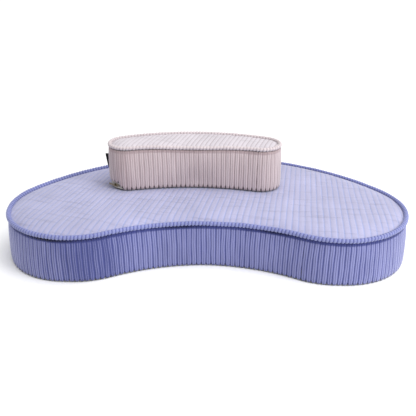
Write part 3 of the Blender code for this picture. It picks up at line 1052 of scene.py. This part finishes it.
def open_foam(name, tint):
    """Cut foam with its cells."""
    material, nodes, shader = new_material(name)
    place = nodes.add("ShaderNodeTexCoord").outputs["Object"]
    cells = nodes.add("ShaderNodeTexVoronoi", {"Vector": place, "Scale": 520.0}).outputs["Distance"]
    aged = nodes.noise(place, 9.0, 3.0)
    light = nodes.sum("MULTIPLY_ADD", cells, 0.4, 0.72)
    light = nodes.sum("MULTIPLY_ADD", aged, 0.2, light)
    nodes.tree.links.new(nodes.scaled((*tint,), light), shader.inputs["Base Color"])
    nodes.tree.links.new(nodes.between(cells, 0.0, 0.8, 0.80, 0.98), shader.inputs["Roughness"])
    bumped(nodes, shader, cells, 0.0006)
    return material


def refinish(node, material):
    """Gives a CAD node a better material."""
    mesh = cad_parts[node].data
    mesh.materials.clear()
    mesh.materials.append(material)


# --------------------------------------------------------------------------------------------
# Operators
# --------------------------------------------------------------------------------------------

swellings = {}


class CUSHIONS_OT_fillings(bpy.types.Operator):
    """Fill both covers and keep how far they swell"""

    bl_idname = "cushions.fillings"
    bl_label = "Fillings"

    def execute(self, context):
        swellings["mat"] = Swelling("mat", 0.009, sizes_of("mat").belly)
        swellings["backrest"] = Swelling("backrest", 0.006, sizes_of("backrest").belly)
        return {"FINISHED"}


class CUSHIONS_OT_side_bands(bpy.types.Operator):
    """Make the ribbed side bands of both cushions"""

    bl_idname = "cushions.side_bands"
    bl_label = "Side Bands"

    def execute(self, context):
        for cushion, shade in zip(CUSHIONS, ("blue", "beige")):
            tints = colours_of(cushion)
            cloth = corduroy(f"{shade} side corduroy", tints.side_crest, tints.side_groove, 0.0, 0.65)
            shape = side_band(cushion, swellings[cushion])
            piece = make_piece(shape, f"{cushion}_ribbed_band", cloth, cushion)
            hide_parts(f"{cushion}_side_band")
        return {"FINISHED"}


class CUSHIONS_OT_top_panels(bpy.types.Operator):
    """Make the ribbed top panels of both cushions"""

    bl_idname = "cushions.top_panels"
    bl_label = "Top Panels"

    def execute(self, context):
        for cushion, shade, load in zip(CUSHIONS, ("blue", "beige"), ("backrest", None)):
            tints = colours_of(cushion)
            cloth = corduroy(f"{shade} top corduroy", tints.top_crest, tints.top_groove, 1.1, 0.35)
            shape = top_panel(cushion, swellings[cushion], load)
            piece = make_piece(shape, f"{cushion}_ribbed_top", cloth, cushion)
            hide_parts(f"{cushion}_top_panel")
        return {"FINISHED"}


class CUSHIONS_OT_piping(bpy.types.Operator):
    """Make the fat ribbed piping of both cushions"""

    bl_idname = "cushions.piping"
    bl_label = "Piping"

    def execute(self, context):
        for cushion, shade in zip(CUSHIONS, ("blue", "beige")):
            tints = colours_of(cushion)
            cloth = corduroy(f"{shade} piping corduroy", tints.piping_crest, tints.piping_groove, 0.0, 0.5)
            shape = piping(cushion)
            piece = make_piece(shape, f"{cushion}_ribbed_piping", cloth, cushion)
            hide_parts(f"{cushion}_piping_sleeve", f"{cushion}_piping_cord")
        return {"FINISHED"}


class CUSHIONS_OT_base_panels(bpy.types.Operator):
    """Make the plain base cloths of both cushions"""

    bl_idname = "cushions.base_panels"
    bl_label = "Base Panels"

    def execute(self, context):
        canvas = woven("base canvas", context.scene.trim_colours.base_cloth, 3600.0, 0.0003)
        for cushion in CUSHIONS:
            piece = make_piece(base_panel(cushion), f"{cushion}_base_cloth", canvas, cushion)
            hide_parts(f"{cushion}_base_panel")
        return {"FINISHED"}


class CUSHIONS_OT_zips(bpy.types.Operator):
    """Make the zip teeth of both cushions and finish their tapes, stops, sliders and pulls"""

    bl_idname = "cushions.zips"
    bl_label = "Zips"

    def execute(self, context):
        trim = context.scene.trim_colours
        metal = brushed_metal("dark zip metal", trim.zip_metal)
        for cushion, tint in zip(CUSHIONS, (trim.mat_zip, trim.backrest_zip)):
            tape = woven(f"{cushion} zip tape", tint, 9000.0, 0.0001)
            nylon = moulded(f"{cushion} zip nylon", tint)
            for row in ("lower", "upper"):
                teeth = zip_teeth(cushion, row)
                piece = make_piece(teeth, f"{cushion}_zip_teeth_{row}", nylon, cushion)
                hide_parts(f"{cushion}_zip_coil_{row}")
                refinish(f"{cushion}_zip_tape_{row}", tape)
            for part in ("slider", "pull", "stop_closed_end", "stop_open_end"):
                refinish(f"{cushion}_zip_{part}", metal)
        return {"FINISHED"}


class CUSHIONS_OT_label(bpy.types.Operator):
    """Make the small folded label on the backrest's end"""

    bl_idname = "cushions.label"
    bl_label = "Label"

    def execute(self, context):
        weave = woven("black label weave", context.scene.trim_colours.label, 12000.0, 0.0001)
        piece = make_piece(label_tab(), "backrest_woven_label", weave, "backrest")
        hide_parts("backrest_label_tab")
        return {"FINISHED"}


class CUSHIONS_OT_foam(bpy.types.Operator):
    """Finish the foam cores inside both covers"""

    bl_idname = "cushions.foam"
    bl_label = "Foam Cores"

    def execute(self, context):
        foam = open_foam("cut foam", context.scene.trim_colours.foam)
        for cushion in CUSHIONS:
            refinish(f"{cushion}_foam_core", foam)
        return {"FINISHED"}


class CUSHIONS_OT_stage(bpy.types.Operator):
    """Set the floor, the soft lights and the camera"""

    bl_idname = "cushions.stage"
    bl_label = "Stage"

    def execute(self, context):
        scene = context.scene
        stage = scene.stage_sizes
        bm = bmesh.new()
        bmesh.ops.create_grid(bm, x_segments=4, y_segments=4, size=12.0)
        mesh = bpy.data.meshes.new("floor")
        bm.to_mesh(mesh)
        bm.free()
        white, nodes, shader = new_material("white floor")
        shader.inputs["Base Color"].default_value = (0.95, 0.95, 0.95, 1)
        shader.inputs["Roughness"].default_value = 0.9
        shader.inputs["Specular IOR Level"].default_value = 0.1
        clear = nodes.add("ShaderNodeBsdfTransparent")
        behind = nodes.add("ShaderNodeNewGeometry").outputs["Backfacing"]
        passed = nodes.add("ShaderNodeLightPath").outputs["Transparent Depth"]
        beneath = nodes.between(nodes.sum("ADD", behind, passed), 0.0, 1.0)
        seen = nodes.add("ShaderNodeMixShader", {0: beneath, 1: shader.outputs[0], 2: clear.outputs[0]})
        nodes.tree.links.new(seen.outputs[0], nodes.tree.nodes["Material Output"].inputs["Surface"])
        mesh.materials.append(white)
        floor = bpy.data.objects.new("floor", mesh)
        scene.collection.objects.link(floor)

        sun = bpy.data.lights.new("soft key", "SUN")
        sun.energy = stage.key
        sun.angle = math.radians(50)
        key = bpy.data.objects.new("soft key", sun)
        key.rotation_euler = Vector(stage.key_from).to_track_quat("Z", "Y").to_euler()
        scene.collection.objects.link(key)

        box = bpy.data.lights.new("soft box", "AREA")
        box.shape = "SQUARE"
        box.size = 1.1
        box.energy = stage.side
        lamp = bpy.data.objects.new("soft box", box)
        lamp.location = (1.75, -1.15, 1.25)
        lamp.rotation_euler = lamp.location.to_track_quat("Z", "Y").to_euler()
        scene.collection.objects.link(lamp)

        surround = bpy.data.worlds.new("white surround")
        surround.use_nodes = True
        sky = Nodes(surround.node_tree)
        glow = surround.node_tree.nodes["Background"]
        glow.inputs["Color"].default_value = (1, 1, 1, 1)
        glow.inputs["Strength"].default_value = stage.surround
        backdrop = sky.add("ShaderNodeBackground", {"Color": (1, 1, 1, 1), "Strength": 1.0})
        looked_at = sky.add("ShaderNodeLightPath").outputs["Is Camera Ray"]
        either = sky.add("ShaderNodeMixShader", {0: looked_at, 1: glow.outputs[0], 2: backdrop.outputs[0]})
        sky.tree.links.new(either.outputs[0], sky.tree.nodes["World Output"].inputs["Surface"])
        scene.world = surround
        scene.view_settings.view_transform = "Standard"

        lens = bpy.data.cameras.new("camera")
        lens.lens = stage.focal_length
        lens.sensor_width = 36.0
        camera = bpy.data.objects.new("camera", lens)
        camera.location = stage.camera_place
        camera.rotation_euler = (math.pi / 2 - stage.camera_pitch, 0.0, stage.camera_turn)
        scene.collection.objects.link(camera)
        scene.camera = camera
        return {"FINISHED"}


class CUSHIONS_PT_build(bpy.types.Panel):
    """Lists what builds the cushions"""

    bl_label = "Corduroy Bean Cushions"
    bl_idname = "CUSHIONS_PT_build"
    bl_space_type = "VIEW_3D"
    bl_region_type = "UI"
    bl_category = "Cushions"

    def draw(self, context):
        for operator in OPERATORS:
            self.layout.operator(operator.bl_idname)
        for holder in HOLDERS:
            box = self.layout.box()
            group = getattr(context.scene, holder)
            for name in group.bl_rna.properties.keys():
                if name not in ("rna_type", "name"):
                    box.prop(group, name)


OPERATORS = (
    CUSHIONS_OT_fillings,
    CUSHIONS_OT_foam,
    CUSHIONS_OT_base_panels,
    CUSHIONS_OT_side_bands,
    CUSHIONS_OT_top_panels,
    CUSHIONS_OT_piping,
    CUSHIONS_OT_zips,
    CUSHIONS_OT_label,
    CUSHIONS_OT_stage,
)
HOLDERS = {
    "mat_sizes": MatSizes,
    "backrest_sizes": BackrestSizes,
    "mat_colours": MatColours,
    "backrest_colours": BackrestColours,
    "trim_colours": TrimColours,
    "stage_sizes": StageSizes,
}


def register():
    for group in HOLDERS.values():
        bpy.utils.register_class(group)
    for operator in OPERATORS:
        bpy.utils.register_class(operator)
    bpy.utils.register_class(CUSHIONS_PT_build)
    for holder, group in HOLDERS.items():
        setattr(bpy.types.Scene, holder, PointerProperty(type=group))


def unregister():
    for holder in HOLDERS:
        delattr(bpy.types.Scene, holder)
    bpy.utils.unregister_class(CUSHIONS_PT_build)
    for operator in reversed(OPERATORS):
        bpy.utils.unregister_class(operator)
    for group in HOLDERS.values():
        bpy.utils.unregister_class(group)


def main():
    """Builds every piece in order."""
    register()
    bpy.ops.cushions.fillings()
    bpy.ops.cushions.foam()
    bpy.ops.cushions.base_panels()
    bpy.ops.cushions.side_bands()
    bpy.ops.cushions.top_panels()
    bpy.ops.cushions.piping()
    bpy.ops.cushions.zips()
    bpy.ops.cushions.label()
    bpy.ops.cushions.stage()


if __name__ == "__main__":
    main()
